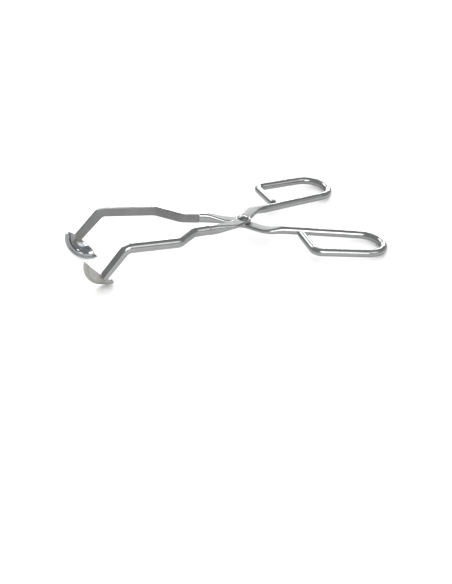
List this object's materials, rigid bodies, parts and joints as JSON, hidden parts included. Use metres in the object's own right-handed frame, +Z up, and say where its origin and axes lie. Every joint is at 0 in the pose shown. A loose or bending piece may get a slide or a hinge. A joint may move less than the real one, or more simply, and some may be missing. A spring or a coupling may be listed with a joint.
{
  "type": "crucible tongs",
  "caption": "Scissor-type laboratory crucible tongs in stainless bar, with riveted pivot, open D-shaped finger loops, bowed arms turned down at the ends and stepped half-bowl jaws.",
  "frame": {"origin": "bottom centre of the box around the tongs as they lie on a table, half open", "axes": "+X towards the handles, +Y towards the upper arm's handle, +Z up from the table"},
  "size_m": [0.192, 0.1144, 0.029],
  "materials": {
    "polished_bar": "electropolished stainless bar",
    "polished_sheet": "mirror-polished stainless sheet",
    "rivet_steel": "polished stainless rivet"
  },
  "bodies": {
    "lower": {"lower_arm": "polished_bar", "lower_jaw": "polished_sheet", "pivot_rivet": "rivet_steel"},
    "upper": {"upper_arm": "polished_bar", "upper_jaw": "polished_sheet"}
  },
  "joints": [
    {"name": "pivot", "type": "hinge", "parent": "lower", "child": "upper", "pos_m": [0.01573, 0, 0.01381], "axis": [0.144, 0, 0.9896], "range_deg": [-19.4, 70]}
  ]
}
